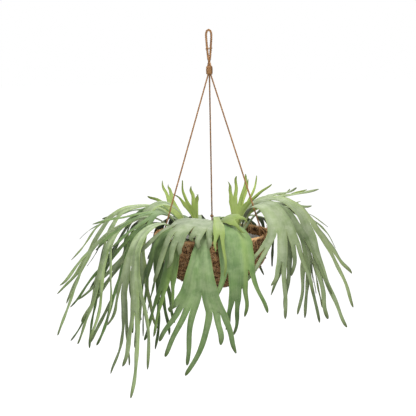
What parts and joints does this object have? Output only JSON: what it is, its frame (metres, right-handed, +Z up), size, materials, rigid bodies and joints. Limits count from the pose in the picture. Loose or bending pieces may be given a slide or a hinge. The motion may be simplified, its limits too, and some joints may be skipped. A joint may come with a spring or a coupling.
{
  "type": "hanging staghorn fern",
  "caption": "Staghorn fern in a round coir bowl that hangs by three cords from a rope loop; forked strap-shaped fronds arch over the rim and hang down.",
  "frame": {"origin": "the point of the hanging loop's inner top that the hook bears on", "axes": "+Z up along the hanger, -Y towards the viewer, +X to the viewer's right"},
  "size_m": [0.7331, 0.4757, 0.8179],
  "materials": {
    "coir": "matte",
    "liner_film": "satin",
    "soil": "matte",
    "jute": "matte",
    "frond_grey": "matte",
    "frond_green": "matte",
    "frond_young": "satin"
  },
  "bodies": {
    "root": {"coir_bowl": "coir", "liner": "liner_film", "soil": "soil", "hanging_loop": "jute", "whipping": "jute", "cord_front_right": "jute", "cord_front_left": "jute", "cord_back": "jute", "cord_tie_front_right": "jute", "cord_tie_front_left": "jute", "cord_tie_back": "jute", "frond_left_outer": "frond_grey", "frond_left_second": "frond_grey", "frond_left_third": "frond_green", "frond_front_left": "frond_grey", "frond_left_spray": "frond_green", "frond_young_left": "frond_young", "frond_young_back_left": "frond_young", "frond_left_arch": "frond_grey", "frond_front_inner_left": "frond_green", "frond_front_left_low": "frond_green", "frond_left_back": "frond_green", "frond_front_centre": "frond_grey", "frond_front_right": "frond_grey", "frond_front_top": "frond_grey", "frond_young_right": "frond_young", "frond_right_front": "frond_grey", "frond_right_outer": "frond_grey", "frond_young_outward": "frond_young", "frond_right_level": "frond_grey", "frond_right_spray": "frond_green", "frond_right_back": "frond_green", "frond_young_back_right": "frond_young", "frond_right_middle": "frond_green", "frond_back_1": "frond_green", "frond_back_2": "frond_grey", "frond_back_3": "frond_green", "frond_back_4": "frond_grey", "frond_back_5": "frond_green", "frond_back_6": "frond_grey", "frond_young_ridge": "frond_young", "frond_young_front": "frond_young", "frond_left_fan": "frond_green"}
  },
  "joints": []
}
